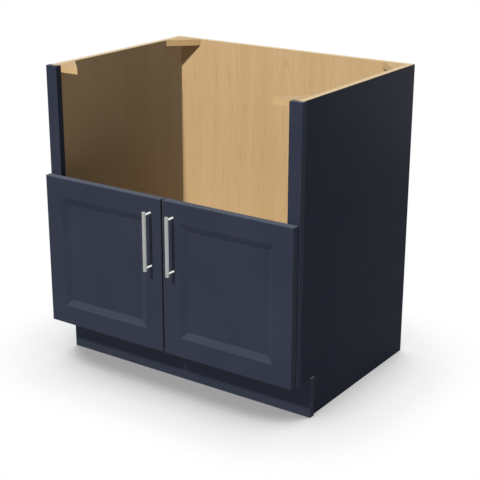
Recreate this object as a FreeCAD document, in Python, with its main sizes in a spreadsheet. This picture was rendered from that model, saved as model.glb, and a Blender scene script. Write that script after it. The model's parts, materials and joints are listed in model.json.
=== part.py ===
import FreeCAD, Part
import os
import re

import Sketcher

# Base cabinet for an apron-front sink: a face-frame box with an open sink bay over two
# overlay doors. X runs across (the left door is at -X), the doors face -Y, Z is up from the
# floor, and the origin is at the middle of the whole outline on the floor.

V = FreeCAD.Vector
Rotation = FreeCAD.Rotation

os.makedirs("parts", exist_ok=True)
doc = FreeCAD.newDocument("SinkBaseCabinet")

# ---------------------------------------------------------------- driving dimensions (mm)
SIZES = [
    ("cabinet_width", "838.2", "over the face frame"),
    ("cabinet_height", "876.3", "floor to top"),
    ("cabinet_depth", "606.4", "face frame front to the back"),
    ("toe_height", "116", "floor to the face frame"),
    ("toe_set_back", "71.5", "face frame front to toe board front"),
    ("toe_board_thickness", "18", ""),
    ("side_thickness", "18", ""),
    ("side_set_in", "4.8", "face frame edge to side panel"),
    ("back_thickness", "15", ""),
    ("back_rebate", "9", "depth of the rebate in the side panels"),
    ("deck_thickness", "15", "floor panel"),
    ("deck_groove", "6", "depth of the groove in the side panels"),
    ("stile_width", "38.1", "face frame"),
    ("frame_thickness", "19.05", "face frame"),
    ("frame_rail_height", "38.1", "both face frame rails"),
    ("door_over_rail", "15.3", "door top above the top of the mid rail"),
    ("side_tongue", "4.5", "side panel into the groove behind the stile"),
    ("tenon_length", "22", ""),
    ("tenon_thickness", "6.35", ""),
    ("tenon_shoulder", "5", "above and below the tenon"),
    ("block_leg", "76.2", "corner block, along each wall"),
    ("block_thickness", "19.05", "corner block"),
    ("dowel_radius", "4", ""),
    ("dowel_in_block", "20", ""),
    ("dowel_in_wall", "9", ""),
    ("dowel_from_corner", "45", "dowel line to the block's square corner"),
    ("toe_block_side", "38", "glue block behind the toe board"),
    ("toe_block_height", "90", ""),
    ("toe_screw_height", "32", "lower screw of a toe block above the floor"),
    ("toe_screw_rise", "26", "upper screw above the lower"),
    ("toe_screw_length", "48", ""),
    ("back_screw_margin", "60", "end screws to the ends of the back"),
    ("back_screw_length", "35", ""),
    ("deck_screw_spacing", "200", "back screws into the floor panel"),
    ("wood_screw_radius", "2", ""),
    ("wood_screw_head", "4", "head radius"),
    ("wood_screw_sink", "2.2", "depth of the countersunk head"),
    ("edge_round", "0.8", "eased edges of the face frame and the corner blocks"),
    ("door_height", "444.5", ""),
    ("door_thickness", "22.2", ""),
    ("door_gap", "4", "door back to face frame"),
    ("door_bottom_reveal", "4.8", "frame showing below the door"),
    ("door_side_reveal", "2.4", "frame showing beside the door"),
    ("door_centre_gap", "4.8", "between the doors"),
    ("member_face", "57.15", "flat face of a door member"),
    ("bevel_width", "20", "moulded slope inside the flat face"),
    ("bevel_step", "0.3", "small step at the outer edge of the slope"),
    ("bevel_drop", "6.2", "depth of the slope"),
    ("panel_lip", "2", "wood left in front of the panel groove"),
    ("panel_groove", "10", "depth of the panel groove"),
    ("panel_thickness", "6", "door panel"),
    ("panel_float", "1.5", "panel edge to groove bottom"),
    ("field_gap", "0.3", "raised field of the panel to the foot of the slope"),
    ("door_front_round", "2.5", "rounded front edges"),
    ("door_back_round", "1", "rounded back edges"),
    ("hinge_from_end", "89", "hinge centre to the door's end"),
    ("cup_radius", "17.5", ""),
    ("cup_depth", "12", ""),
    ("cup_wall", "1", ""),
    ("cup_edge_tab", "3", "door edge to cup"),
    ("ear_length", "58", "hinge cup's mounting plate, up the door"),
    ("ear_width", "13", ""),
    ("ear_thickness", "1", ""),
    ("ear_offset", "9.5", "screw line to cup centre"),
    ("ear_screw_spacing", "45", ""),
    ("cup_screw_length", "12", ""),
    ("hinge_screw_radius", "1.75", ""),
    ("hinge_screw_head", "3.2", "head radius"),
    ("hinge_screw_dome", "0.8", "head height"),
    ("hinge_screw_flat", "2.2", "radius of the flat on the head"),
    ("pin_radius", "1.25", "hinge pin"),
    ("pin_play", "0.05", "running clearance of the arm on its pin"),
    ("knuckle_radius", "2.5", "rolled end of the hinge arm"),
    ("knuckle_wall_gap", "1.3", "knuckle to cup wall"),
    ("knuckle_floor_gap", "0.5", "knuckle to cup floor"),
    ("arm_width", "11", ""),
    ("arm_thickness", "1.6", ""),
    ("arm_bend", "0.7", "inner radius of the arm's bends"),
    ("arm_far_gap", "5.2", "arm to the cup's far wall"),
    ("arm_frame_gap", "0.6", "arm to the face frame's front"),
    ("plate_height", "40", "hinge plate on the stile's inner edge"),
    ("plate_depth", "16", ""),
    ("plate_set_back", "1", "face frame front to the plate"),
    ("plate_screw_spacing", "26", ""),
    ("plate_screw_length", "15", ""),
    ("bar_radius", "5", "pull"),
    ("bar_length", "169.5", ""),
    ("bar_end_chamfer", "0.8", ""),
    ("bar_standoff", "27.5", "door face to the bar's centre line"),
    ("bar_from_edge", "35.8", "door's free edge to the bar's centre line"),
    ("bar_below_top", "119.3", "door top to the bar's middle"),
    ("post_spacing", "152.4", ""),
    ("post_radius", "2.6", ""),
    ("post_in_bar", "3", ""),
    ("pull_screw_radius", "1.8", ""),
    ("pull_screw_head", "4", "head radius"),
    ("pull_screw_dome", "2.2", "head height"),
    ("pull_screw_flat", "2.8", "radius of the flat on the head"),
    ("pull_screw_in_post", "10", ""),
    ("bumper_radius", "5", ""),
    ("bumper_gap", "0.3", "bumper to face frame"),
    ("bumper_from_edge", "18", "door's free edge to the bumper's centre"),
    ("cut_past", "1", "how far a cutter runs past the face it starts at"),
]
BACK_SCREWS_PER_SIDE = 4
DECK_SCREWS = 4
SMALLEST_CUT = 0.01     # mm3, less than any real cut takes away
SAME_SPOT = 0.001       # mm

# Places and lengths that follow from the sizes above.
FORMULAS = {
    "frame_edge_x": "cabinet_width / 2",
    "box_x": "frame_edge_x - side_set_in",
    "inside_x": "box_x - side_thickness",
    "opening_x": "frame_edge_x - stile_width",
    "pull_reach": "door_gap + door_thickness + bar_standoff + bar_radius",
    "front_y": "(pull_reach - cabinet_depth) / 2",
    "frame_back_y": "front_y + frame_thickness",
    "back_y": "front_y + cabinet_depth",
    "inside_back_y": "back_y - back_thickness",
    "toe_front_y": "front_y + toe_set_back",
    "toe_back_y": "toe_front_y + toe_board_thickness",
    "bottom_rail_top_z": "toe_height + frame_rail_height",
    "deck_bottom_z": "bottom_rail_top_z - deck_thickness",
    "deck_middle_z": "bottom_rail_top_z - deck_thickness / 2",
    "mid_rail_bottom_z": "door_top_z - door_over_rail - frame_rail_height",
    "tenon_front_y": "front_y + (frame_thickness - tenon_thickness) / 2",
    "tenon_height": "frame_rail_height - 2 * tenon_shoulder",
    "block_bottom_z": "cabinet_height - block_thickness",
    "dowel_z": "cabinet_height - block_thickness / 2",
    "dowel_length": "dowel_in_block + dowel_in_wall",
    "door_edge_x": "frame_edge_x - door_side_reveal",
    "door_free_x": "door_centre_gap / 2",
    "door_width": "door_edge_x - door_free_x",
    "door_back_y": "front_y - door_gap",
    "door_front_y": "door_back_y - door_thickness",
    "door_bottom_z": "toe_height + door_bottom_reveal",
    "door_top_z": "door_bottom_z + door_height",
    "member_width": "member_face + bevel_width",
    "recess": "bevel_step + bevel_drop + panel_lip",
    "panel_inset": "member_width - panel_groove + panel_float",
    "field_inset": "member_width + field_gap",
    "pivot_x": "door_edge_x - cup_edge_tab - cup_wall - knuckle_wall_gap - knuckle_radius",
    "pivot_y": "door_back_y - cup_depth + cup_wall + knuckle_floor_gap + knuckle_radius",
    "cup_x": "door_edge_x - cup_edge_tab - cup_radius",
    "pin_from_cup": "cup_radius - cup_wall - knuckle_wall_gap - knuckle_radius",
    "pin_length": "2 * sqrt(cup_radius ^ 2 - (pin_from_cup + pin_radius) ^ 2)",
    "arm_reach": "2 * (cup_radius - cup_wall) - knuckle_wall_gap - knuckle_radius - arm_far_gap",
    "plate_front_y": "front_y + plate_set_back",
    "upper_hinge_z": "door_top_z - hinge_from_end",
    "lower_hinge_z": "door_bottom_z + hinge_from_end",
    "bar_x": "door_free_x + bar_from_edge",
    "bar_y": "door_front_y - bar_standoff",
    "bar_z": "door_top_z - bar_below_top",
    "post_length": "bar_standoff - bar_radius + post_in_bar",
    "bumper_x": "door_free_x + bumper_from_edge",
    "bumper_height": "door_gap - bumper_gap",
}

sheet = doc.addObject("Spreadsheet::Sheet", "Sizes")
for row, (alias, number, note) in enumerate(SIZES, start=1):
    sheet.set(f"A{row}", note)
    sheet.set(f"B{row}", number)
    sheet.setAlias(f"B{row}", alias)
doc.recompute()
SIZE_NAMES = {alias for alias, number, note in SIZES}


# ---------------------------------------------------------------- how sizes reach the pieces
def spelled(text):
    """The text with each formula written out and each size looked up in the sheet."""
    def word(match):
        name = match.group(0)
        if name in FORMULAS:
            return "(" + spelled(FORMULAS[name]) + ")"
        return "Sizes." + name if name in SIZE_NAMES else name
    return re.sub(r"[a-z][a-z_]*", word, text)


def value(text):
    """What the text comes to now, in mm."""
    return float(sheet.evalExpression(spelled(text)))


def bind(thing, **texts):
    for name, text in texts.items():
        thing.setExpression(name, spelled(text))


def place(thing, x, y, z, turn=Rotation()):
    """Puts a piece's own origin at x, y, z, turned first."""
    thing.Placement = FreeCAD.Placement(V(value(x), value(y), value(z)), turn)
    for axis, text in (("x", x), ("y", y), ("z", z)):
        thing.setExpression("Placement.Base." + axis, spelled(text))
    return thing


TO_Y = Rotation(V(1, 0, 0), -90)        # a piece made along +Z lies along +Y
TO_MINUS_Y = Rotation(V(1, 0, 0), 90)
TO_X = Rotation(V(0, 1, 0), 90)
TO_MINUS_X = Rotation(V(0, 1, 0), -90)


# ---------------------------------------------------------------- ways of making a piece
def board(label, length, width, height, x, y, z):
    """A plain board from its lowest corner: length along X, width along Y, height along Z."""
    box = doc.addObject("Part::Box", label)
    bind(box, Length=length, Width=width, Height=height)
    return place(box, x, y, z)


def origin_plane(body, role):
    return next(plane for plane in body.Origin.OriginFeatures if plane.Role == role)


def outline(body, name, role, corners):
    """A closed outline of straight sides on an origin plane, each corner held by its sizes."""
    sketch = body.newObject("Sketcher::SketchObject", name)
    sketch.AttachmentSupport = [(origin_plane(body, role), "")]
    sketch.MapMode = "FlatFace"
    spots = [V(value(across), value(up), 0) for across, up in corners]
    for number, spot in enumerate(spots):
        sketch.addGeometry(Part.LineSegment(spot, spots[(number + 1) % len(spots)]))
    for number, texts in enumerate(corners):
        sketch.addConstraint(Sketcher.Constraint("Coincident", number, 2, (number + 1) % len(spots), 1))
        for axis, text in zip("XY", texts):
            held = Sketcher.Constraint("Distance" + axis, -1, 1, number, 1, value(text))
            index = sketch.addConstraint(held)
            sketch.setExpression(f"Constraints[{index}]", spelled(text))
    return sketch


def padded(body, sketch, length, both_ways=False, reverse=False):
    pad = body.newObject("PartDesign::Pad", sketch.Name + "Pad")
    pad.Profile = sketch
    pad.Midplane = both_ways
    pad.Reversed = reverse
    bind(pad, Length=length)
    doc.recompute()
    return pad


def rounded(body, feature, name, radius, spots):
    """The feature with a round on each edge whose middle is one of the spots."""
    edges = []
    for texts in spots:
        spot = V(*(value(text) for text in texts))
        edges.append(next(f"Edge{number}" for number, edge in enumerate(feature.Shape.Edges, start=1)
                          if (edge.CenterOfMass - spot).Length < SAME_SPOT))
    fillet = body.newObject("PartDesign::Fillet", name)
    fillet.Base = (feature, edges)
    bind(fillet, Radius=radius)
    doc.recompute()
    return fillet


def turned(label, corners):
    """A solid of revolution about its own Z axis; each corner is a radius and a height."""
    body = doc.addObject("PartDesign::Body", label)
    sketch = outline(body, label + "Profile", "XZ_Plane", corners)
    spin = body.newObject("PartDesign::Revolution", label + "Spin")
    spin.Profile = sketch
    spin.ReferenceAxis = (sketch, ["V_Axis"])
    spin.Angle = 360
    return body


def rod(label, radius, length):
    return turned(label, [("0", "0"), (radius, "0"), (radius, length), ("0", length)])


def joined(label, pieces):
    fuse = doc.addObject("Part::MultiFuse", label)
    fuse.Shapes = pieces
    return fuse


def cut(label, piece, tool):
    """The piece less the tool; the volume says whether the tool met it at all."""
    less = doc.addObject("Part::Cut", label)
    less.Base = piece
    less.Tool = tool
    doc.recompute()
    if piece.Shape.Volume - less.Shape.Volume < SMALLEST_CUT:
        raise RuntimeError(label + ": the cut removes nothing")
    return less


def mirrored(label, piece, across=V(1, 0, 0), base="0"):
    """The piece's mirror image in the plane square to X or Z at base."""
    copy = doc.addObject("Part::Mirroring", label)
    copy.Source = piece
    copy.Normal = across
    axis = "x" if across.x else "z"
    copy.setExpression("Base." + axis, spelled(base))
    return copy


def copies(label, pattern, spots):
    """One group of copies of a small piece, each at (x, y, z, turn)."""
    shapes = []
    for x, y, z, turn in spots:
        shape = pattern.Shape.copy()
        shape.Placement = FreeCAD.Placement(V(value(x), value(y), value(z)), turn)
        shapes.append(shape)
    group = doc.addObject("Part::Feature", label)
    group.Shape = Part.makeCompound(shapes)
    group.Placement = FreeCAD.Placement()
    return group


nodes = []


def finished(thing, label):
    """Gives a sub-part the name that its file takes."""
    thing.Label = label
    nodes.append(thing)
    return thing


# ---------------------------------------------------------------- fastener patterns
def sunk_screw(label, radius, head, sink, length):
    """A screw driven along +Z with its flat head's face at 0."""
    return turned(label, [("0", "0"), (head, "0"), (radius, sink), (radius, length), ("0", length)])


def raised_screw(label, radius, head, flat, dome, length):
    """A screw driven along +Z with the seat of its raised head at 0."""
    return turned(label, [("0", "-" + dome), (flat, "-" + dome), (head, "0"),
                          (radius, "0"), (radius, length), ("0", length)])


back_screw = sunk_screw("BackScrew", "wood_screw_radius", "wood_screw_head", "wood_screw_sink",
                        "back_screw_length")
toe_screw = sunk_screw("ToeScrew", "wood_screw_radius", "wood_screw_head", "wood_screw_sink",
                       "toe_screw_length")
plate_screw = raised_screw("PlateScrew", "hinge_screw_radius", "hinge_screw_head", "hinge_screw_flat",
                           "hinge_screw_dome", "plate_screw_length")
cup_screw = raised_screw("CupScrew", "hinge_screw_radius", "hinge_screw_head", "hinge_screw_flat",
                         "hinge_screw_dome", "cup_screw_length")
pull_screw = raised_screw("PullScrew", "pull_screw_radius", "pull_screw_head", "pull_screw_flat",
                          "pull_screw_dome", "door_thickness + pull_screw_in_post")
dowel = rod("Dowel", "dowel_radius", "dowel_length")
doc.recompute()

SIDES = (("-", TO_MINUS_X), ("", TO_X))     # sign of X, and the turn away from the middle

back_spots = []
for sign, outward in SIDES:
    for number in range(BACK_SCREWS_PER_SIDE):
        height = (f"back_screw_margin + {number}"
                  f" * (cabinet_height - 2 * back_screw_margin) / {BACK_SCREWS_PER_SIDE - 1}")
        back_spots.append((sign + "(inside_x + back_rebate / 2)", "back_y", height, TO_MINUS_Y))
for number in range(DECK_SCREWS):
    steps_from_middle = number - (DECK_SCREWS - 1) / 2
    back_spots.append((f"{steps_from_middle} * deck_screw_spacing", "back_y", "deck_middle_z",
                       TO_MINUS_Y))
back_screws = finished(copies("BackScrews", back_screw, back_spots), "back_screws")

toe_spots = []
for sign, outward in SIDES:
    middle_x = sign + "(inside_x - toe_block_side / 2)"
    toe_spots.append((middle_x, "toe_back_y + toe_block_side", "toe_screw_height", TO_MINUS_Y))
    toe_spots.append((sign + "(inside_x - toe_block_side)", "toe_back_y + toe_block_side / 2",
                      "toe_screw_height + toe_screw_rise", outward))
toe_screws = finished(copies("ToeScrews", toe_screw, toe_spots), "toe_screws")

dowel_spots = []
for sign, outward in SIDES:
    into_side = sign + "(inside_x - dowel_in_block)"
    across = sign + "(inside_x - dowel_from_corner)"
    dowel_spots.append((into_side, "frame_back_y + dowel_from_corner", "dowel_z", outward))
    dowel_spots.append((into_side, "inside_back_y - dowel_from_corner", "dowel_z", outward))
    dowel_spots.append((across, "inside_back_y - dowel_in_block", "dowel_z", TO_Y))
block_dowels = finished(copies("BlockDowels", dowel, dowel_spots), "corner_block_dowels")

HINGE_HEIGHTS = (("upper", "upper_hinge_z"), ("lower", "lower_hinge_z"))

plate_spots = []
for sign, outward in SIDES:
    for name, height in HINGE_HEIGHTS:
        for half in ("-", "+"):
            plate_spots.append((sign + "(opening_x - arm_thickness)", "plate_front_y + plate_depth / 2",
                                f"{height} {half} plate_screw_spacing / 2", outward))
plate_screws = finished(copies("PlateScrews", plate_screw, plate_spots), "hinge_plate_screws")


# ---------------------------------------------------------------- box
def side_panel():
    """Plywood side: notched below for the toe space, rebated behind, grooved for the floor."""
    body = doc.addObject("PartDesign::Body", "SideBlank")
    face = outline(body, "SideFace", "YZ_Plane", [
        ("toe_back_y", "0"), ("back_y", "0"), ("back_y", "cabinet_height"),
        ("frame_back_y - side_tongue", "cabinet_height"), ("frame_back_y - side_tongue", "toe_height"),
        ("toe_back_y", "toe_height")])
    padded(body, face, "side_thickness")
    place(body, "-box_x", "0", "0")
    rebate = board("BackRebate", "back_rebate", "back_thickness", "cabinet_height",
                   "-inside_x - back_rebate", "inside_back_y", "0")
    groove = board("DeckGroove", "deck_groove", "inside_back_y - frame_back_y", "deck_thickness",
                   "-inside_x - deck_groove", "frame_back_y", "deck_bottom_z")
    panel = cut("SideRebated", body, rebate)
    panel = cut("SideGrooved", panel, groove)
    panel = cut("SideBored", panel, back_screws)
    panel = cut("SideToeBored", panel, toe_screws)
    return cut("LeftSide", panel, block_dowels)


left_side = finished(side_panel(), "left_side_panel")
finished(mirrored("RightSide", left_side), "right_side_panel")

back_blank = board("BackBlank", "2 * (inside_x + back_rebate)", "back_thickness", "cabinet_height",
                   "-inside_x - back_rebate", "inside_back_y", "0")
back_bored = cut("BackBored", back_blank, back_screws)
finished(cut("Back", back_bored, block_dowels), "back_panel")

deck_blank = board("DeckBlank", "2 * (inside_x + deck_groove)", "inside_back_y - frame_back_y",
                   "deck_thickness", "-inside_x - deck_groove", "frame_back_y", "deck_bottom_z")
finished(cut("Deck", deck_blank, back_screws), "floor_panel")


# ---------------------------------------------------------------- face frame
def frame_rail(label, bottom):
    """A rail between the stiles with a tenon at each end."""
    rail = board(label + "Rail", "2 * opening_x", "frame_thickness", "frame_rail_height",
                 "-opening_x", "front_y", bottom)
    tenons = board(label + "Tenons", "2 * (opening_x + tenon_length)", "tenon_thickness", "tenon_height",
                   "-opening_x - tenon_length", "tenon_front_y", bottom + " + tenon_shoulder")
    return joined(label, [rail, tenons])


bottom_rail = finished(frame_rail("BottomRail", "toe_height"), "bottom_rail")
mid_rail = finished(frame_rail("MidRail", "mid_rail_bottom_z"), "mid_rail")


def frame_stile():
    """An upright of the face frame: front edges eased, mortised for the rails, grooved for the side."""
    blank = doc.addObject("PartDesign::Body", "StileBlank")
    section = outline(blank, "StileSection", "XY_Plane", [
        ("0", "0"), ("stile_width", "0"), ("stile_width", "frame_thickness"), ("0", "frame_thickness")])
    pad = padded(blank, section, "cabinet_height - toe_height")
    rounded(blank, pad, "StileEased", "edge_round", [
        (x, "0", "(cabinet_height - toe_height) / 2") for x in ("0", "stile_width")])
    place(blank, "-frame_edge_x", "front_y", "toe_height")
    groove = board("StileGroove", "side_thickness", "side_tongue", "cabinet_height - toe_height",
                   "-box_x", "frame_back_y - side_tongue", "toe_height")
    stile = cut("StileGrooved", blank, groove)
    stile = cut("StileLowMortise", stile, bottom_rail)
    stile = cut("StileMortised", stile, mid_rail)
    return cut("LeftStile", stile, plate_screws)


left_stile = finished(frame_stile(), "left_stile")
finished(mirrored("RightStile", left_stile), "right_stile")


# ---------------------------------------------------------------- corner blocks and toe board
def corner_block(label, wall_y, into):
    """A triangular block at the top of the box, its square corner at the side and wall_y."""
    body = doc.addObject("PartDesign::Body", label + "Blank")
    face = outline(body, label + "Face", "XY_Plane",
                   [("0", "0"), ("block_leg", "0"), ("0", into + "block_leg")])
    pad = padded(body, face, "block_thickness")
    rounded(body, pad, label + "Eased", "edge_round", [
        ("block_leg / 2", into + "block_leg / 2", height) for height in ("0", "block_thickness")])
    place(body, "-inside_x", wall_y, "block_bottom_z")
    return cut(label, body, block_dowels)


front_block = finished(corner_block("FrontBlock", "frame_back_y", ""), "front_left_corner_block")
rear_block = finished(corner_block("RearBlock", "inside_back_y", "-"), "rear_left_corner_block")
finished(mirrored("FrontRightBlock", front_block), "front_right_corner_block")
finished(mirrored("RearRightBlock", rear_block), "rear_right_corner_block")

toe_blank = board("ToeBlank", "cabinet_width", "toe_board_thickness", "toe_height",
                  "-frame_edge_x", "toe_front_y", "0")
finished(cut("ToeBoard", toe_blank, toe_screws), "toe_board")

toe_block_blank = board("ToeBlockBlank", "toe_block_side", "toe_block_side", "toe_block_height",
                        "-inside_x", "toe_back_y", "0")
toe_block = finished(cut("ToeBlock", toe_block_blank, toe_screws), "left_toe_block")
finished(mirrored("RightToeBlock", toe_block), "right_toe_block")


# ---------------------------------------------------------------- hinge arms
def hinge_arm(label, height):
    """A steel strip rolled round the pin, bent out of the cup and round the stile's inner edge."""
    body = doc.addObject("PartDesign::Body", label + "Blank")
    near_y = "-arm_thickness / 2"
    bend_y = "front_y - arm_frame_gap - pivot_y"
    edge_x = "pivot_x - opening_x"
    strip = outline(body, label + "Strip", "XY_Plane", [
        ("0", near_y), ("arm_reach", near_y), ("arm_reach", bend_y + " - arm_thickness"),
        (edge_x + " + arm_thickness", bend_y + " - arm_thickness"),
        (edge_x + " + arm_thickness", "plate_front_y + plate_depth - pivot_y"),
        (edge_x, "plate_front_y + plate_depth - pivot_y"), (edge_x, bend_y),
        ("arm_reach - arm_thickness", bend_y), ("arm_reach - arm_thickness", "arm_thickness / 2"),
        ("0", "arm_thickness / 2")])
    pad = padded(body, strip, "arm_width", both_ways=True)
    inside = rounded(body, pad, label + "InnerBends", "arm_bend", [
        ("arm_reach - arm_thickness", "arm_thickness / 2", "0"),
        ("arm_reach", bend_y + " - arm_thickness", "0"), (edge_x, bend_y, "0")])
    rounded(body, inside, label + "OuterBends", "arm_bend + arm_thickness", [
        ("arm_reach", near_y, "0"), ("arm_reach - arm_thickness", bend_y, "0"),
        (edge_x + " + arm_thickness", bend_y + " - arm_thickness", "0")])
    place(body, "-pivot_x", "pivot_y", height)
    knuckle = place(rod(label + "Knuckle", "knuckle_radius", "arm_width"),
                    "-pivot_x", "pivot_y", height + " - arm_width / 2")
    plate = board(label + "Plate", "arm_thickness", "plate_depth", "plate_height",
                  "-opening_x", "plate_front_y", height + " - plate_height / 2")
    bore = place(rod(label + "Bore", "pin_radius + pin_play", "arm_width + 2 * cut_past"),
                 "-pivot_x", "pivot_y", height + " - arm_width / 2 - cut_past")
    arm = joined(label + "Joined", [body, knuckle, plate])
    arm = cut(label + "Rolled", arm, bore)
    return cut(label, arm, plate_screws)


for name, height in HINGE_HEIGHTS:
    arm = finished(hinge_arm(name.title() + "Arm", height), f"left_{name}_hinge_arm")
    finished(mirrored("Right" + name.title() + "Arm", arm), f"right_{name}_hinge_arm")


# ---------------------------------------------------------------- left door
def moulded_member(label, length):
    """A door member: X from its outer edge inwards, Y from its face to its back, mitred in Z."""
    body = doc.addObject("PartDesign::Body", label)
    section = outline(body, label + "Section", "XY_Plane", [
        ("0", "0"), ("member_face", "0"), ("member_face", "bevel_step"),
        ("member_width", "bevel_step + bevel_drop"), ("member_width", "recess"),
        ("member_width - panel_groove", "recess"),
        ("member_width - panel_groove", "recess + panel_thickness"),
        ("member_width", "recess + panel_thickness"), ("member_width", "door_thickness"),
        ("0", "door_thickness")])
    pad = padded(body, section, length)
    front = rounded(body, pad, label + "FrontRound", "door_front_round", [("0", "0", length + " / 2")])
    back = rounded(body, front, label + "BackRound", "door_back_round",
                   [("0", "door_thickness", length + " / 2")])
    whole = back.Shape.Volume
    ends = (("Foot", "0", "member_width"), ("Head", length, length + " - member_width"))
    for name, outer, inner in ends:
        mitre = outline(body, label + name, "XZ_Plane",
                        [("0", outer), ("member_width", outer), ("member_width", inner)])
        pocket = body.newObject("PartDesign::Pocket", label + name + "Mitre")
        pocket.Profile = mitre
        pocket.Type = "ThroughAll"
        doc.recompute()
        if whole - pocket.Shape.Volume < SMALLEST_CUT:
            raise RuntimeError(label + ": the mitre cuts nothing")
        whole = pocket.Shape.Volume
    return body


stile_blank = place(moulded_member("DoorStile", "door_height"),
                    "-door_edge_x", "door_front_y", "door_bottom_z")
rail = place(moulded_member("DoorRail", "door_width"),
             "-door_free_x", "door_front_y", "door_bottom_z", TO_MINUS_X)

cup_spots = []
for name, height in HINGE_HEIGHTS:
    for half in ("-", "+"):
        cup_spots.append(("-cup_x + ear_offset", "door_back_y + ear_thickness",
                          f"{height} {half} ear_screw_spacing / 2", TO_MINUS_Y))
cup_screws = finished(copies("CupScrews", cup_screw, cup_spots), "left_door_hinge_screws")

pin = rod("Pin", "pin_radius", "pin_length")
doc.recompute()
pin_spots = [("-pivot_x", "pivot_y", height + " - pin_length / 2", Rotation())
             for name, height in HINGE_HEIGHTS]
pins = finished(copies("HingePins", pin, pin_spots), "left_door_hinge_pins")


def hinge_cup(label, height):
    """A pressed steel cup with its mounting ears, open towards the cabinet."""
    shell = turned(label + "Shell", [
        ("0", "0"), ("cup_radius", "0"), ("cup_radius", "cup_depth + ear_thickness"),
        ("cup_radius - cup_wall", "cup_depth + ear_thickness"),
        ("cup_radius - cup_wall", "cup_wall"), ("0", "cup_wall")])
    place(shell, "-cup_x", "door_back_y - cup_depth", height, TO_Y)
    ears = board(label + "Ears", "ear_width", "ear_thickness", "ear_length",
                 "-cup_x + ear_offset - ear_width / 2", "door_back_y", height + " - ear_length / 2")
    mouth = place(rod(label + "Mouth", "cup_radius - cup_wall", "ear_thickness + 2 * cut_past"),
                  "-cup_x", "door_back_y - cut_past", height, TO_Y)
    open_ears = cut(label + "OpenEars", ears, mouth)
    cup = joined(label + "Joined", [shell, open_ears])
    cup = cut(label + "Pinned", cup, pins)
    return cut(label, cup, cup_screws)


left_door = [cup_screws, pins]
outer_stile = stile_blank
for name, height in HINGE_HEIGHTS:
    cup = finished(hinge_cup(name.title() + "Cup", height), f"left_door_{name}_hinge_cup")
    left_door.append(cup)
    bore = place(rod(name.title() + "CupBore", "cup_radius", "cup_depth"),
                 "-cup_x", "door_back_y - cup_depth", height, TO_Y)
    outer_stile = cut(name.title() + "CupSeat", outer_stile, bore)
outer_stile = cut("DoorOuterStile", outer_stile, cup_screws)
left_door.append(finished(outer_stile, "left_door_outer_stile"))

post_spots = [("-bar_x", "door_front_y", f"bar_z {half} post_spacing / 2") for half in ("-", "+")]
screw_spots = [(x, "door_back_y", z, TO_MINUS_Y) for x, y, z in post_spots]
pull_screws = finished(copies("PullScrews", pull_screw, screw_spots), "left_pull_screws")
left_door.append(pull_screws)

inner_blank = mirrored("InnerBlank", stile_blank, base="-(door_edge_x + door_free_x) / 2")
left_door.append(finished(cut("DoorInnerStile", inner_blank, pull_screws), "left_door_inner_stile"))
left_door.append(finished(rail, "left_door_bottom_rail"))
top_rail = mirrored("DoorTopRail", rail, V(0, 0, 1), "door_bottom_z + door_height / 2")
left_door.append(finished(top_rail, "left_door_top_rail"))
tongue = board("PanelTongue", "door_width - 2 * panel_inset", "panel_thickness",
               "door_height - 2 * panel_inset", "-door_edge_x + panel_inset",
               "door_front_y + recess", "door_bottom_z + panel_inset")
field = board("PanelField", "door_width - 2 * field_inset", "panel_lip",
              "door_height - 2 * field_inset", "-door_edge_x + field_inset",
              "door_front_y + recess - panel_lip", "door_bottom_z + field_inset")
left_door.append(finished(joined("DoorPanel", [tongue, field]), "left_door_panel"))

# ---------------------------------------------------------------- left pull and bumpers
post = rod("Post", "post_radius", "post_length")
doc.recompute()
posts = copies("Posts", post, [(x, y, z, TO_MINUS_Y) for x, y, z in post_spots])
bar_blank = turned("BarBlank", [
    ("0", "0"), ("bar_radius - bar_end_chamfer", "0"), ("bar_radius", "bar_end_chamfer"),
    ("bar_radius", "bar_length - bar_end_chamfer"), ("bar_radius - bar_end_chamfer", "bar_length"),
    ("0", "bar_length")])
place(bar_blank, "-bar_x", "bar_y", "bar_z - bar_length / 2")
left_door.append(finished(cut("Bar", bar_blank, posts), "left_pull_bar"))
left_door.append(finished(cut("BoredPosts", posts, pull_screws), "left_pull_posts"))

bumper = rod("Bumper", "bumper_radius", "bumper_height")
doc.recompute()
bumper_spots = [("-bumper_x", "door_back_y", height + " + frame_rail_height / 2", TO_Y)
                for height in ("toe_height", "mid_rail_bottom_z")]
left_door.append(finished(copies("Bumpers", bumper, bumper_spots), "left_door_bumpers"))

# ---------------------------------------------------------------- right door, the left one mirrored
for piece in left_door:
    name = piece.Label.replace("left_", "right_")
    finished(mirrored("R" + piece.Name, piece), name)

doc.recompute()

# ---------------------------------------------------------------- checks and files
for thing in doc.Objects:
    if {"Invalid", "Error"} & set(thing.State):
        raise RuntimeError(f"{thing.Label} failed: {thing.State}")
for node in nodes:
    if node.Shape.isNull() or not node.Shape.isValid():
        raise RuntimeError(f"{node.Label} has no valid shape")
for node in nodes:
    node.Shape.exportStep(f"parts/{node.Label}.step")
    print(f"{node.Label}: {len(node.Shape.Solids)} solid(s), {node.Shape.Volume:.0f} mm3")
print(len(nodes), "files")
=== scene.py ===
import json
import math

import bmesh
import bpy
from mathutils import Matrix, Vector


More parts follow.
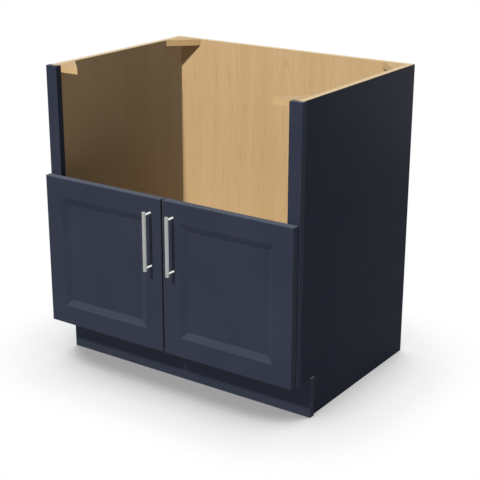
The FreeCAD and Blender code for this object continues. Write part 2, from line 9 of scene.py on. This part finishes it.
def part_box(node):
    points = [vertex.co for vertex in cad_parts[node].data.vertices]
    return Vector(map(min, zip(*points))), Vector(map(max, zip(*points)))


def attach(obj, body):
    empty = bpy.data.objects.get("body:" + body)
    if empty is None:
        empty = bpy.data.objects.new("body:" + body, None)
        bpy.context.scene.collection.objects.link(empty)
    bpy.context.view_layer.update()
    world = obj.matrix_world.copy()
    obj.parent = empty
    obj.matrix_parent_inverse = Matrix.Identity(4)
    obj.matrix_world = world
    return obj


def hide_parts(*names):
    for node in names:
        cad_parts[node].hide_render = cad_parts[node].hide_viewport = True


# Sink base cabinet with two doors: photographer's set first, then the cabinet in the order in
# which it is put together. Everything is in metres, and the doors face -Y.
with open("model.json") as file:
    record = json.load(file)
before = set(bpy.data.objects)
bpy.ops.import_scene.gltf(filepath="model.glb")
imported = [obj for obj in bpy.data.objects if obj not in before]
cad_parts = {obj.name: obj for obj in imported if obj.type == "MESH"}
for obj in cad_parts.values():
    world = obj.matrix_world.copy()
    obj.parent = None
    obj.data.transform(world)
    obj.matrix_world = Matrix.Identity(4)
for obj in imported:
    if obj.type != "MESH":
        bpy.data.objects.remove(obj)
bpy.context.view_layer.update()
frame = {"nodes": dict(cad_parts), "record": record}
scene = bpy.context.scene


# ---------------------------------------------------------------- camera
# The photograph was taken from the front right, a little above the cabinet, with a long lens. Its
# place and angles are those at which the cabinet's straight edges fall on the ones in the photograph.
face_frame_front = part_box("bottom_rail")[0][1]
camera_data = bpy.data.cameras.new("camera")
camera_data.sensor_width = 36.0
camera_data.lens = 88.91
camera = bpy.data.objects.new("camera", camera_data)
camera_right_of_middle = 1.88044
camera_before_frame = 2.39143
camera_height = 1.49885
camera_yaw = math.radians(34.489)
camera_tilt = math.radians(-19.144)
camera_roll = math.radians(0.157)
camera.matrix_world = (
    Matrix.Translation((camera_right_of_middle, face_frame_front - camera_before_frame, camera_height))
    @ Matrix.Rotation(camera_yaw, 4, "Z")
    @ Matrix.Rotation(math.pi / 2 + camera_tilt, 4, "X")
    @ Matrix.Rotation(camera_roll, 4, "Z"))
scene.collection.objects.link(camera)
scene.camera = camera
scene.view_settings.view_transform = "Standard"


# ---------------------------------------------------------------- floor and light
# A pale seamless studio floor that runs off into white. Its glow carries a painted soft shadow, darker
# where the cabinet shuts more of the sky off; the floor's own colour shows only in what it throws back.
def linear(colour):
    """An sRGB hex colour as linear red, green, blue and alpha."""
    parts = [int(colour[place:place + 2], 16) / 255 for place in (0, 2, 4)]
    return [part / 12.92 if part <= 0.04045 else ((part + 0.055) / 1.055) ** 2.4
            for part in parts] + [1.0]


def add_node(tree, kind, values=None, links=None, **settings):
    """A new shader node with its settings, socket values and incoming links."""
    new = tree.nodes.new(kind)
    for name, setting in settings.items():
        setattr(new, name, setting)
    for socket, value in (values or {}).items():
        new.inputs[socket].default_value = value
    for socket, source in (links or {}).items():
        tree.links.new(source, new.inputs[socket])
    return new


def blank_material(name):
    """A new material without nodes, and its tree."""
    material = bpy.data.materials.new(name)
    material.use_nodes = True
    material.node_tree.nodes.clear()
    return material, material.node_tree


def set_stops(ramp, stops):
    """Gives a colour ramp its (position, colour) stops."""
    elements = ramp.color_ramp.elements
    while len(elements) > 1:
        elements.remove(elements[-1])
    for number, (position, colour) in enumerate(stops):
        stop = elements[0] if number == 0 else elements.new(position)
        stop.position = position
        stop.color = colour


def shows_the_set(tree):
    """1 for rays that see the set itself, from the camera, in a mirror or through something clear."""
    path = add_node(tree, "ShaderNodeLightPath")
    mirrored = add_node(tree, "ShaderNodeMath", links={
        0: path.outputs["Is Camera Ray"], 1: path.outputs["Is Glossy Ray"]}, operation="MAXIMUM")
    return add_node(tree, "ShaderNodeMath", links={
        0: mirrored.outputs[0], 1: path.outputs["Is Transmission Ray"]}, operation="MAXIMUM").outputs[0]


SHADOW_REACH = 0.3
floor_material, tree = blank_material("pale seamless floor")
sky_seen = add_node(tree, "ShaderNodeAmbientOcclusion", {"Distance": SHADOW_REACH}, samples=24)
# Painted shadow: how much sky each point sees becomes the grey of the floor's glow.
shade = add_node(tree, "ShaderNodeValToRGB", links={"Fac": sky_seen.outputs["AO"]})
SHADOW_DEPTH = ((0.0, 0.33), (0.34, 0.335), (0.44, 0.40), (0.51, 0.515), (0.58, 0.665), (0.67, 0.755),
                (0.75, 0.855), (0.85, 0.896), (0.95, 0.975), (1.0, 1.0))
set_stops(shade, [(open_sky, (grey, grey, grey, 1)) for open_sky, grey in SHADOW_DEPTH])
seen = add_node(tree, "ShaderNodeEmission", {"Strength": 1.0}, {"Color": shade.outputs["Color"]})
thrown = add_node(tree, "ShaderNodeBsdfDiffuse", {"Color": (0.47, 0.49, 0.54, 1)})
floor_mix = add_node(tree, "ShaderNodeMixShader", links={
    0: shows_the_set(tree), 1: thrown.outputs[0], 2: seen.outputs[0]})
add_node(tree, "ShaderNodeOutputMaterial", links={"Surface": floor_mix.outputs[0]})

floor_mesh = bpy.data.meshes.new("floor")
floor_bmesh = bmesh.new()
bmesh.ops.create_grid(floor_bmesh, x_segments=1, y_segments=1, size=12.0)
floor_bmesh.to_mesh(floor_mesh)
floor_bmesh.free()
floor_mesh.materials.append(floor_material)
floor = bpy.data.objects.new("floor", floor_mesh)
scene.collection.objects.link(floor)

# The sky is seen as white, but it lights the cabinet with a weak, cool light.
SKY_LIGHT = (0.122, 0.127, 0.144, 1)
world = bpy.data.worlds.new("studio")
scene.world = world
world.use_nodes = True
tree = world.node_tree
tree.nodes.clear()
sky_colour = add_node(tree, "ShaderNodeMix", {"A": SKY_LIGHT, "B": (1, 1, 1, 1)},
                      {"Factor": shows_the_set(tree)}, data_type="RGBA")
sky = add_node(tree, "ShaderNodeBackground", {"Strength": 1.0}, {"Color": sky_colour.outputs["Result"]})
add_node(tree, "ShaderNodeOutputWorld", links={"Surface": sky.outputs[0]})

key_data = bpy.data.lights.new("key", "SUN")
key_data.energy = 3.75
key_data.angle = math.radians(3.5)
key = bpy.data.objects.new("key", key_data)
key_height = math.radians(44.5)
key.rotation_euler = (math.pi / 2 - key_height, 0.0, 0.0)
scene.collection.objects.link(key)

# Two lamps reach the painted fronts alone, because on the maple they would take the shade out of the
# sink bay. One is the front panel. The other, a warm one almost straight above that throws no shadow,
# draws the doors' slopes and top edges out of the dark paint.
painted_fronts = bpy.data.collections.new("painted fronts")
for part in frame["record"]["subparts"]:
    if part["material_slot"] == "navy_paint":
        painted_fronts.objects.link(frame["nodes"][part["node"]])

above_data = bpy.data.lights.new("above", "SUN")
above_data.energy = 8.6
above_data.color = (1.0, 0.97, 0.76)
above_data.angle = key_data.angle
above_data.use_shadow = False
above = bpy.data.objects.new("above", above_data)
above_height = math.radians(86.0)
above.rotation_euler = (math.pi / 2 - above_height, 0.0, 0.0)
above.visible_glossy = False
above.light_linking.receiver_collection = painted_fronts
scene.collection.objects.link(above)

# Low, wide panels all round lift the faces that the key passes by. Their tops stay below the
# cabinet's, so the inside keeps its shade.
PANEL_DISTANCE = 2.6
PANEL_WIDTH = 2.4
PANEL_HEIGHT = 0.8
PANEL_MIDDLE = 0.05 + PANEL_HEIGHT / 2
for name, turn, power in (
        ("right", 90, 6.0), ("left", -90, 6.0), ("behind", 180, 25.0), ("front", 0, 12.7)):
    panel_data = bpy.data.lights.new(name + " panel", "AREA")
    panel_data.shape = "RECTANGLE"
    panel_data.size = PANEL_WIDTH
    panel_data.size_y = PANEL_HEIGHT
    panel_data.energy = power
    panel = bpy.data.objects.new(name + " panel", panel_data)
    panel.matrix_world = (Matrix.Rotation(math.radians(turn), 4, "Z")
                          @ Matrix.Translation((0.0, -PANEL_DISTANCE, PANEL_MIDDLE))
                          @ Matrix.Rotation(math.pi / 2, 4, "X"))
    if name == "front":
        panel.light_linking.receiver_collection = painted_fronts
    scene.collection.objects.link(panel)

# The set keeps its light simple, as in the photograph: a shine shows the set and no other piece, the
# sunlit back throws no warm light on the sides, and the front blocks throw no shadow on the back.
for piece in frame["nodes"].values():
    piece.visible_glossy = False
frame["nodes"]["back_panel"].visible_diffuse = False
for name in ("front_left_corner_block", "front_right_corner_block", "corner_block_dowels"):
    frame["nodes"][name].visible_shadow = False


# ---------------------------------------------------------------- plywood box
# The sides, back and floor are 15 to 18 mm maple-faced plywood under clear lacquer. The outer faces
# of the sides are painted like the front. The veneer's figure runs up the sides and the back.
MAPLE_FAIR = "cbac80"
MAPLE_DEEP = "c5a577"
MAPLE_LINE = "8d6a40"
PLY_FAIR = "e6cea6"
PLY_DEEP = "d6bc90"
PLY_COUNT = 7
SKIN = 0.0004


def map_range(tree, source, low, high, start=0.0, end=1.0):
    """The source's range from low to high as start to end."""
    return add_node(tree, "ShaderNodeMapRange", {
        "From Min": low, "From Max": high, "To Min": start, "To Max": end}, {"Value": source}).outputs[0]


def maple_figure(tree, where, grain_axis, fair, deep, contrast=0.24):
    """Maple's colour and pores: an even ground with faint streaks and a few thin lines in long loops."""
    def figure(width, length, detail, bend=0.0):
        """A pattern of patches this wide and long, in metres, drawn out along the grain."""
        size = [1 / length if axis == grain_axis else 1 / width for axis in "XYZ"]
        spread = add_node(tree, "ShaderNodeMapping", {"Scale": size}, {"Vector": where})
        return add_node(tree, "ShaderNodeTexNoise", {"Scale": 1.0, "Detail": detail, "Distortion": bend},
                        {"Vector": spread.outputs[0]}).outputs["Fac"]

    streaks = add_node(tree, "ShaderNodeMath", links={
        0: figure(0.005, 0.30, 3.0), 1: figure(0.07, 1.20, 1.0)}, operation="ADD")
    ground = add_node(tree, "ShaderNodeMix", {"A": linear(deep), "B": linear(fair)},
                      {"Factor": map_range(tree, streaks.outputs[0], 0.75, 1.25)}, data_type="RGBA")
    # The growth rings are contour lines of a long, slow swell. They come and go along their length.
    RINGS_IN_SWELL = 14.0
    swell = add_node(tree, "ShaderNodeMath", {1: RINGS_IN_SWELL}, {0: figure(0.12, 0.95, 1.0, 0.3)},
                     operation="MULTIPLY")
    ring = add_node(tree, "ShaderNodeMath", links={0: swell.outputs[0]}, operation="FRACT")
    line = map_range(tree, ring.outputs[0], 0.0, 0.15, 1.0, 0.0)
    patches = map_range(tree, figure(0.05, 0.30, 2.0), 0.52, 0.66)
    late_wood = add_node(tree, "ShaderNodeMath", links={0: line, 1: patches}, operation="MULTIPLY")
    pores = map_range(tree, figure(0.0035, 0.12, 1.0), 0.62, 0.72, 0.0, 0.9)
    dark = add_node(tree, "ShaderNodeMath", links={0: late_wood.outputs[0], 1: pores},
                    operation="MAXIMUM")
    drawn = add_node(tree, "ShaderNodeMix", {"B": linear(MAPLE_LINE)}, {
        "Factor": map_range(tree, dark.outputs[0], 0.0, 1.0, 0.0, contrast),
        "A": ground.outputs["Result"]}, data_type="RGBA")
    return drawn.outputs["Result"], dark.outputs[0]


def plywood_edge(tree, across, low, thickness):
    """The seven plies as they show on a cut edge, fair and deep by turns through the board."""
    ply = thickness / PLY_COUNT
    blur = ply * 0.08
    depth = add_node(tree, "ShaderNodeMath", {1: low}, {0: across}, operation="SUBTRACT")
    turn = add_node(tree, "ShaderNodeMath", {1: ply}, {0: depth.outputs[0]}, operation="PINGPONG")
    is_deep = map_range(tree, turn.outputs[0], ply / 2 - blur, ply / 2 + blur)
    return add_node(tree, "ShaderNodeMix", {"A": linear(PLY_FAIR), "B": linear(PLY_DEEP)},
                    {"Factor": is_deep}, data_type="RGBA").outputs["Result"]


def beyond(tree, coordinate, limit):
    """1 where the coordinate passes the limit, less the thickness of a skin."""
    return add_node(tree, "ShaderNodeMath", {1: limit - SKIN}, {0: coordinate},
                    operation="GREATER_THAN").outputs[0]


def lacquered_maple(name, grain_axis, fair=MAPLE_FAIR, deep=MAPLE_DEEP, plies_of=None):
    """Maple under satin lacquer, which keeps the pores as faint dents. Plies can show on a top edge."""
    material, tree = blank_material(name)
    where = add_node(tree, "ShaderNodeTexCoord").outputs["Object"]
    colour, pores = maple_figure(tree, where, grain_axis, fair, deep)
    if plies_of:
        low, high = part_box(plies_of)
        place = add_node(tree, "ShaderNodeSeparateXYZ", links={"Vector": where})
        colour = add_node(tree, "ShaderNodeMix", links={
            "Factor": beyond(tree, place.outputs["Z"], high.z), "A": colour,
            "B": plywood_edge(tree, place.outputs["Y"], low.y, high.y - low.y)},
            data_type="RGBA").outputs["Result"]
    dents = add_node(tree, "ShaderNodeBump", {"Strength": 0.1, "Distance": 0.0002},
                     {"Height": pores}, invert=True)
    surface = add_node(tree, "ShaderNodeBsdfPrincipled", {"Roughness": 0.45, "Specular IOR Level": 0.08},
                       {"Base Color": colour, "Normal": dents.outputs[0]})
    add_node(tree, "ShaderNodeOutputMaterial", links={"Surface": surface.outputs[0]})
    return material


def give(material, *names):
    """Puts a material on CAD pieces."""
    for name in names:
        piece = frame["nodes"][name]
        for slot in piece.material_slots:
            slot.material = material
        if not piece.material_slots:
            piece.data.materials.append(material)


give(lacquered_maple("lacquered maple plywood", "Z", plies_of="back_panel"), "back_panel")
give(lacquered_maple("lacquered maple plywood laid flat", "X"), "floor_panel")


def paint_peel(tree, where):
    """The faint orange peel that a spray gun leaves, dimples about 3 mm across."""
    dimples = add_node(tree, "ShaderNodeTexNoise", {"Scale": 1 / 0.003, "Detail": 1.0}, {"Vector": where})
    return add_node(tree, "ShaderNodeBump", {"Strength": 0.04, "Distance": 0.0002},
                    {"Height": dimples.outputs["Fac"]}).outputs[0]


def navy(tree, where):
    """A dark, slightly blue grey that drifts very little from place to place."""
    clouds = add_node(tree, "ShaderNodeTexNoise", {"Scale": 1 / 0.12, "Detail": 2.0}, {"Vector": where})
    colour = add_node(tree, "ShaderNodeValToRGB", links={"Fac": clouds.outputs["Fac"]})
    set_stops(colour, [(0.35, linear("272b37")), (0.65, linear("2a2d39"))])
    return colour.outputs["Color"]


def painted_side():
    """Plywood sprayed navy outside only: the paint stops at the arris, and the rest is maple."""
    material, tree = blank_material("maple plywood painted outside")
    low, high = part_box("right_side_panel")
    where = add_node(tree, "ShaderNodeTexCoord").outputs["Object"]
    place = add_node(tree, "ShaderNodeSeparateXYZ", links={"Vector": where})
    from_middle = add_node(tree, "ShaderNodeMath", links={0: place.outputs["X"]},
                           operation="ABSOLUTE").outputs[0]
    maple, _ = maple_figure(tree, where, "Z", MAPLE_FAIR, MAPLE_DEEP, contrast=0.10)
    cut_edge = add_node(tree, "ShaderNodeMath", links={
        0: beyond(tree, place.outputs["Z"], high.z), 1: beyond(tree, place.outputs["Y"], high.y)},
        operation="MAXIMUM")
    bare = add_node(tree, "ShaderNodeMix", links={
        "Factor": cut_edge.outputs[0], "A": maple,
        "B": plywood_edge(tree, from_middle, low.x, high.x - low.x)}, data_type="RGBA")
    colour = add_node(tree, "ShaderNodeMix", links={
        "Factor": beyond(tree, from_middle, high.x), "A": bare.outputs["Result"],
        "B": navy(tree, where)}, data_type="RGBA")
    surface = add_node(tree, "ShaderNodeBsdfPrincipled", {"Roughness": 0.4, "Specular IOR Level": 0.01},
                       {"Base Color": colour.outputs["Result"], "Normal": paint_peel(tree, where)})
    add_node(tree, "ShaderNodeOutputMaterial", links={"Surface": surface.outputs[0]})
    return material


give(painted_side(), "left_side_panel", "right_side_panel")


# ---------------------------------------------------------------- face frame, toe board and doors
# The face frame, the toe board and the doors' rails, stiles and panels, all jointed in wood and then
# sprayed with satin navy lacquer paint: a dark, slightly blue grey whose sheen only shows on faces
# seen at a low angle.
material, tree = blank_material("satin navy lacquer paint")
where = add_node(tree, "ShaderNodeTexCoord").outputs["Object"]
surface = add_node(tree, "ShaderNodeBsdfPrincipled", {
    "Roughness": 0.5, "Specular IOR Level": 0.015, "Sheen Weight": 0.16, "Sheen Roughness": 0.3},
    {"Base Color": navy(tree, where), "Normal": paint_peel(tree, where)})
add_node(tree, "ShaderNodeOutputMaterial", links={"Surface": surface.outputs[0]})
give(material, "left_stile", "right_stile", "bottom_rail", "mid_rail", "toe_board")
for side in ("left", "right"):
    give(material, *(f"{side}_door_{member}" for member in
                     ("outer_stile", "inner_stile", "top_rail", "bottom_rail", "panel")))


# ---------------------------------------------------------------- corner blocks and glue blocks
# Planed maple, which is darker than the veneer and has no plies. The corner blocks are glued and
# dowelled to the sides and the back, and the blocks behind the toe board are glued and screwed. The
# grain runs along the front of the cabinet.
give(lacquered_maple("planed maple", "X", fair="caa97a", deep="c5a272"),
     "corner_block_dowels", "left_toe_block", "right_toe_block",
     *(f"{end}_{side}_corner_block" for end in ("front", "rear") for side in ("left", "right")))


# ---------------------------------------------------------------- pulls
# Turned steel bars plated with satin nickel, each on two posts and held by screws through the door.
# The posts' plate is glossier, and its colour is painted near white as a painted highlight, so the posts
# shine brighter than the bars.
def plated_metal(name, colour, roughness):
    """Plated steel brushed upright. The fine scratches break up the shine. Real ones are too fine to
    show, so they are drawn 0.4 mm wide and 30 mm long."""
    ROUGHNESS_SPREAD = 0.06
    material, tree = blank_material(name)
    where = add_node(tree, "ShaderNodeTexCoord")
    spread = add_node(tree, "ShaderNodeMapping", {"Scale": (1 / 0.0004, 1 / 0.0004, 1 / 0.03)},
                      {"Vector": where.outputs["Object"]})
    scratches = add_node(tree, "ShaderNodeTexNoise", {"Scale": 1.0, "Detail": 2.0},
                         {"Vector": spread.outputs[0]})
    scratched = map_range(tree, scratches.outputs["Fac"], 0.0, 1.0,
                          roughness - ROUGHNESS_SPREAD, roughness + ROUGHNESS_SPREAD)
    surface = add_node(tree, "ShaderNodeBsdfPrincipled", {"Base Color": linear(colour), "Metallic": 1.0},
                       {"Roughness": scratched})
    add_node(tree, "ShaderNodeOutputMaterial", links={"Surface": surface.outputs[0]})
    return material


nickel = plated_metal("satin nickel", "a3a4a2", 0.6)
# The posts' near-white colour is a painted highlight on the same nickel plate as the bars.
posts_nickel_painted_bright = plated_metal("nickel painted bright on the posts", "f0f0ec", 0.3)
for side in ("left", "right"):
    give(nickel, f"{side}_pull_bar")
    give(posts_nickel_painted_bright, f"{side}_pull_posts")


# ---------------------------------------------------------------- screws
# Steel screws with a cross recess, plated with bright zinc. Countersunk ones hold the back and the
# toe board's glue blocks, and ones with low domed heads hold the hinges and the pulls.
BRIGHT_PLATE = ("c9c9c4", 0.32)
zinc = plated_metal("zinc plated steel", *BRIGHT_PLATE)
NEAR = 1e-6


def turned(profile, sides):
    """A round solid about Z from (radius, height, rounding) corners, with its first corner left open."""
    shape = bmesh.new()
    corners = [shape.verts.new((radius, 0.0, height)) for radius, height, rounding in profile]
    edges = [shape.edges.new(pair) for pair in zip(corners, corners[1:])]
    bmesh.ops.spin(shape, geom=corners + edges, cent=(0, 0, 0), axis=(0, 0, 1), dvec=(0, 0, 0),
                   angle=math.tau, steps=sides, use_merge=True, use_duplicate=False)
    bmesh.ops.remove_doubles(shape, verts=shape.verts, dist=NEAR)
    for radius, height, rounding in profile:
        if rounding:
            ring = [edge for edge in shape.edges if all(
                abs(corner.co.xy.length - radius) < NEAR and abs(corner.co.z - height) < NEAR
                for corner in edge.verts)]
            bmesh.ops.bevel(shape, geom=ring, offset=rounding, segments=3, profile=0.5,
                            affect="EDGES", material=-1)
    return shape


def cut_cross(shape, reach, half_width, depth):
    """Closes a turned screw's open top at height 0 and sinks a cross recess into it."""
    rim = [edge for edge in shape.edges if edge.is_boundary]
    cells = bmesh.ops.create_grid(shape, x_segments=3, y_segments=3, size=1.0)["verts"]
    for corner in cells:
        for axis in (0, 1):
            outer = abs(corner.co[axis]) > 0.5
            corner.co[axis] = math.copysign(reach if outer else half_width, corner.co[axis])
    grid = {face for corner in cells for face in corner.link_faces}
    cross = [face for face in grid
             if min(abs(face.calc_center_median().x), abs(face.calc_center_median().y)) < half_width]
    bmesh.ops.delete(shape, geom=[face for face in grid if face not in cross], context="FACES")
    outline = [edge for edge in shape.edges if edge.is_boundary and edge not in rim]
    bmesh.ops.triangle_fill(shape, edges=rim + outline, use_beauty=True, use_dissolve=False)
    sunk = [item for item in bmesh.ops.extrude_face_region(shape, geom=cross)["geom"]
            if isinstance(item, bmesh.types.BMVert)]
    bmesh.ops.delete(shape, geom=[face for face in cross if face.is_valid], context="FACES_ONLY")
    bmesh.ops.scale(shape, vec=(0.6, 0.6, 1.0), verts=sunk)
    bmesh.ops.translate(shape, vec=(0, 0, depth), verts=sunk)


def solids_of(node):
    """The lowest and highest corner of each separate solid in a CAD node."""
    whole = bmesh.new()
    whole.from_mesh(frame["nodes"][node].data)
    bmesh.ops.remove_doubles(whole, verts=whole.verts, dist=NEAR)
    waiting, boxes = set(whole.verts), []
    while waiting:
        solid = [waiting.pop()]
        for corner in solid:
            for edge in corner.link_edges:
                neighbour = edge.other_vert(corner)
                if neighbour in waiting:
                    waiting.remove(neighbour)
                    solid.append(neighbour)
        spans = [sorted(corner.co[axis] for corner in solid) for axis in range(3)]
        boxes.append((Vector([span[0] for span in spans]), Vector([span[-1] for span in spans])))
    whole.free()
    return boxes


def finish_piece(shape, name, material, slot, body, *nodes):
    """Makes a bmesh a piece that rides on a body and stands for CAD nodes."""
    bmesh.ops.recalc_face_normals(shape, faces=shape.faces)
    mesh = bpy.data.meshes.new(name)
    shape.to_mesh(mesh)
    shape.free()
    mesh.shade_smooth()
    mesh.set_sharp_from_angle(angle=math.radians(32))
    mesh.materials.append(material)
    piece = bpy.data.objects.new(name, mesh)
    scene.collection.objects.link(piece)
    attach(piece, body)
    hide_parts(*nodes)


def add_solid(group, solid):
    """Moves a solid into a group of solids."""
    mesh = bpy.data.meshes.new("one solid")
    solid.to_mesh(mesh)
    solid.free()
    group.from_mesh(mesh)
    bpy.data.meshes.remove(mesh)


def drive_screws(node, body, corners, recess):
    """Puts a screw where each solid of the node is. Those along X have their heads toward the
    cabinet's middle, and those along Y at the rear."""
    group = bmesh.new()
    for low, high in solids_of(node):
        size, middle = high - low, (low + high) / 2
        if size.x > size.y:
            outward = math.copysign(1.0, middle.x)
            seat = Vector((low.x if outward > 0 else high.x, middle.y, middle.z))
            way = Vector((outward, 0, 0))
        else:
            seat = Vector((middle.x, high.y, middle.z))
            way = Vector((0, -1, 0))
        screw = turned(corners(max(size)), sides=24)
        cut_cross(screw, *recess)
        turn = way.to_track_quat("Z", "Y").to_matrix().to_4x4()
        bmesh.ops.transform(screw, matrix=Matrix.Translation(seat) @ turn, verts=screw.verts)
        add_solid(group, screw)
    finish_piece(group, node.replace("_screws", "_cross_screws"), zinc, "zinc_screws", body, node)


def wood_screw(length):
    """Corners of a countersunk screw: an 8 mm head, a 4 mm shank and a point."""
    return ((0.0037, 0.0, 0), (0.0040, 0.0003, 0), (0.0020, 0.0022, 0), (0.0020, length - 0.006, 0),
            (0.0, length, 0))


def hinge_screw(length):
    """Corners of a 3.5 mm screw with a low domed head."""
    return ((0.0022, 0.0, 0), (0.0029, 0.0003, 0), (0.0032, 0.0008, 0), (0.00175, 0.0008, 0),
            (0.00175, length - 0.004, 0), (0.0, length, 0))


def machine_screw(length):
    """Corners of a pull's machine screw with a thick domed head and a blunt end."""
    return ((0.0028, 0.0, 0), (0.0036, 0.0007, 0), (0.0040, 0.0022, 0), (0.0018, 0.0022, 0),
            (0.0018, length, 0.0003), (0.0, length, 0))


# A cross recess: the reach of its arms from the middle, half their width, and its depth.
WOOD_RECESS = (0.0024, 0.0005, 0.0016)
SMALL_RECESS = (0.0016, 0.00035, 0.0010)
drive_screws("back_screws", "cabinet", wood_screw, WOOD_RECESS)
drive_screws("toe_screws", "cabinet", wood_screw, WOOD_RECESS)
drive_screws("hinge_plate_screws", "cabinet", hinge_screw, SMALL_RECESS)
for side in ("left", "right"):
    drive_screws(f"{side}_door_hinge_screws", f"{side}_door", hinge_screw, SMALL_RECESS)
    drive_screws(f"{side}_pull_screws", f"{side}_door", machine_screw, SMALL_RECESS)


# ---------------------------------------------------------------- hinges
# Pressed steel hinges with a bright nickel plate: a cup with a rolled rim and two screwed ears in the
# door, and a bent arm, rolled round a pin in the cup, that is screwed to the stile's inner edge.
CUP_WALL = 0.001
RIM_ROUND = 0.00045
EAR_WIDTH = 0.013
EAR_THICKNESS = 0.001
EAR_ROUND = 0.004
EAR_FROM_CUP_CENTRE = 0.0095


def add_ear(cup, rim_radius, mouth, tip, upward):
    """Puts a flat ear on a cup: its inner end follows the rim, and its outer corners are rounded."""
    near_edge = EAR_FROM_CUP_CENTRE + EAR_WIDTH / 2
    far_edge = EAR_FROM_CUP_CENTRE - EAR_WIDTH / 2
    begin = math.acos(near_edge / rim_radius)
    sweep = math.acos(far_edge / rim_radius) - begin
    start = cup.verts.new((-rim_radius * math.cos(begin), upward * rim_radius * math.sin(begin),
                           mouth - EAR_THICKNESS))
    arc = bmesh.ops.spin(cup, geom=[start], cent=(0, 0, 0), axis=(0, 0, -upward), dvec=(0, 0, 0),
                         angle=sweep, steps=8, use_merge=False, use_duplicate=False)
    end = [item for item in arc["geom_last"] if isinstance(item, bmesh.types.BMVert)][0]
    outer = [cup.verts.new((-x, upward * tip, mouth - EAR_THICKNESS)) for x in (far_edge, near_edge)]
    ends = [end, *outer, start]
    for pair in zip(ends, ends[1:]):
        cup.edges.new(pair)
    bmesh.ops.contextual_create(cup, geom=[edge for edge in cup.edges if edge.is_wire])
    bmesh.ops.bevel(cup, geom=outer, offset=EAR_ROUND, segments=5, profile=0.5,
                    affect="VERTICES", material=-1)
    # All other faces have four corners at most.
    ear = [face for face in cup.faces if len(face.verts) > 10]
    raised = bmesh.ops.extrude_face_region(cup, geom=ear, use_keep_orig=True)["geom"]
    bmesh.ops.translate(cup, vec=(0, 0, EAR_THICKNESS),
                        verts=[item for item in raised if isinstance(item, bmesh.types.BMVert)])
    bmesh.ops.triangulate(cup, faces=[face for face in cup.faces if len(face.verts) > 10])


hinge_steel = plated_metal("nickel plated pressed steel", *BRIGHT_PLATE)
for side, outward in (("left", -1), ("right", 1)):
    give(hinge_steel, f"{side}_upper_hinge_arm", f"{side}_lower_hinge_arm", f"{side}_door_hinge_pins")
    for level in ("upper", "lower"):
        node = f"{side}_door_{level}_hinge_cup"
        low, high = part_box(node)
        radius = (high.x - low.x) / 2
        mouth = high.y - low.y
        cup = turned(((0.0, 0.0, 0), (radius, 0.0, 0.0025), (radius, mouth, RIM_ROUND),
                      (radius - CUP_WALL, mouth, RIM_ROUND), (radius - CUP_WALL, CUP_WALL, 0.0018),
                      (0.0, CUP_WALL, 0)), sides=48)
        for upward in (-1, 1):
            add_ear(cup, radius - CUP_WALL / 2, mouth, (high.z - low.z) / 2, upward)
        matrix = (Matrix.Translation(((low.x + high.x) / 2, low.y, (low.z + high.z) / 2))
                  @ Matrix.Scale(outward, 4, (1, 0, 0)) @ Matrix.Rotation(-math.pi / 2, 4, "X"))
        bmesh.ops.transform(cup, matrix=matrix, verts=cup.verts)
        finish_piece(cup, f"{side}_door_{level}_pressed_cup", hinge_steel, "hinge_steel",
                     f"{side}_door", node)


# ---------------------------------------------------------------- bumpers
# Small domes of soft clear polyurethane, stuck behind each door's free edge to keep it off the face
# frame. They are a little hazy, and some light comes through.
material, tree = blank_material("soft clear polyurethane")
where = add_node(tree, "ShaderNodeTexCoord").outputs["Object"]
haze = add_node(tree, "ShaderNodeTexNoise", {"Scale": 1 / 0.002, "Detail": 2.0}, {"Vector": where})
surface = add_node(tree, "ShaderNodeBsdfPrincipled",
                   {"Base Color": linear("d2d4d0"), "Transmission Weight": 0.3},
                   {"Roughness": map_range(tree, haze.outputs["Fac"], 0.3, 0.7, 0.25, 0.4)})
add_node(tree, "ShaderNodeOutputMaterial", links={"Surface": surface.outputs[0]})
for side in ("left", "right"):
    node = f"{side}_door_bumpers"
    pair = bmesh.new()
    for low, high in solids_of(node):
        radius, height = (high.x - low.x) / 2, high.y - low.y
        dome = turned(((0.0, 0.0, 0), (radius, 0.0, 0), (radius, height * 0.35, 0),
                       (radius * 0.86, height * 0.75, 0), (radius * 0.5, height * 0.96, 0),
                       (0.0, height, 0)), sides=32)
        matrix = (Matrix.Translation(((low.x + high.x) / 2, low.y, (low.z + high.z) / 2))
                  @ Matrix.Rotation(-math.pi / 2, 4, "X"))
        bmesh.ops.transform(dome, matrix=matrix, verts=dome.verts)
        add_solid(pair, dome)
    finish_piece(pair, f"{side}_door_domed_bumpers", material, "bumper_rubber", f"{side}_door", node)
